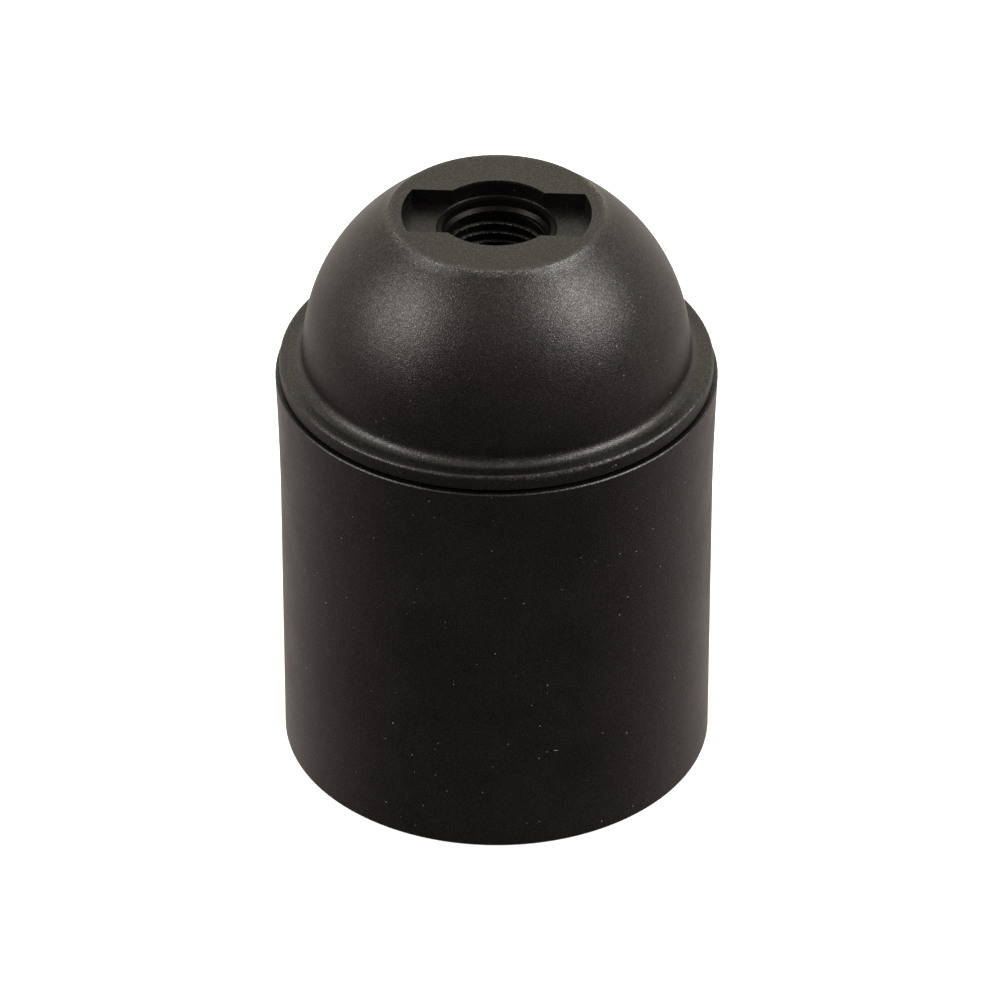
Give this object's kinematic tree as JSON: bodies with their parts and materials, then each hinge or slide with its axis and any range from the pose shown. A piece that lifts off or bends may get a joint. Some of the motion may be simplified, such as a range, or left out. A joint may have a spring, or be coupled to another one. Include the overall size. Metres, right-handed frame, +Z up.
{
  "type": "lamp holder",
  "caption": "Black plastic lamp holder with a smooth skirt, a domed cap with a threaded cable entry and a knuckle-threaded socket for a screw lamp cap.",
  "frame": {"origin": "centre of the mouth rim's plane, on the holder's axis; the holder stands on this rim", "axes": "+Z up the axis from the lamp's mouth to the threaded cable entry; +X towards the phase terminal, along the slot in the top disc"},
  "size_m": [0.0406, 0.0406, 0.0569],
  "materials": {
    "casing_plastic": "satin black with a fine moulded grain",
    "insert_plastic": "matte black",
    "brass": "plain rolled brass",
    "plated_steel": "zinc plated"
  },
  "bodies": {
    "cap": {"dome_cap": "casing_plastic"},
    "insert": {"terminal_block": "insert_plastic", "phase_plate": "brass", "neutral_plate": "brass", "contact_rivets": "brass"},
    "shell": {"outer_shell": "casing_plastic"},
    "phase_saddle": {"phase_clamp": "plated_steel"},
    "phase_fastener": {"phase_screw": "plated_steel"},
    "neutral_saddle": {"neutral_clamp": "plated_steel"},
    "neutral_fastener": {"neutral_screw": "plated_steel"},
    "centre_leaf": {"centre_contact": "brass"},
    "side_leaf": {"side_contact": "brass"}
  },
  "joints": [
    {"name": "insert_withdraw", "type": "slide", "parent": "cap", "child": "insert", "axis": [0, 0, -1], "range_m": [0, 0.0046]},
    {"name": "shell_unscrew", "type": "hinge", "parent": "insert", "child": "shell", "pos_m": [0, 0, 0], "axis": [0, 0, -1], "range_deg": [0, 828]},
    {"name": "phase_clamp_lift", "type": "slide", "parent": "insert", "child": "phase_saddle", "axis": [0, 0, 1], "range_m": [0, 0.0018]},
    {"name": "phase_screw_turn", "type": "hinge", "parent": "phase_saddle", "child": "phase_fastener", "pos_m": [0.0102, 0, 0.0472], "axis": [0, 0, 1], "range_deg": [0, 1080]},
    {"name": "neutral_clamp_lift", "type": "slide", "parent": "insert", "child": "neutral_saddle", "axis": [0, 0, 1], "range_m": [0, 0.0018]},
    {"name": "neutral_screw_turn", "type": "hinge", "parent": "neutral_saddle", "child": "neutral_fastener", "pos_m": [-0.0102, 0, 0.0472], "axis": [0, 0, 1], "range_deg": [0, 1080]},
    {"name": "centre_leaf_flex", "type": "hinge", "parent": "insert", "child": "centre_leaf", "pos_m": [0.0077, 0, 0.0416], "axis": [0, 1, 0], "range_deg": [0, 8], "stiffness_Nm_per_rad": 0.3, "springref_deg": -2.86},
    {"name": "side_leaf_flex", "type": "hinge", "parent": "insert", "child": "side_leaf", "pos_m": [-0.0043, 0, 0.0416], "axis": [0, 1, 0], "range_deg": [0, 8], "stiffness_Nm_per_rad": 0.3, "springref_deg": -2.86}
  ],
  "couplings": [
    {"joint": "shell_unscrew", "follows": "insert_withdraw", "rad_per_m": 3141.6},
    {"joint": "phase_screw_turn", "follows": "phase_clamp_lift", "rad_per_m": 10472},
    {"joint": "neutral_screw_turn", "follows": "neutral_clamp_lift", "rad_per_m": 10472}
  ]
}
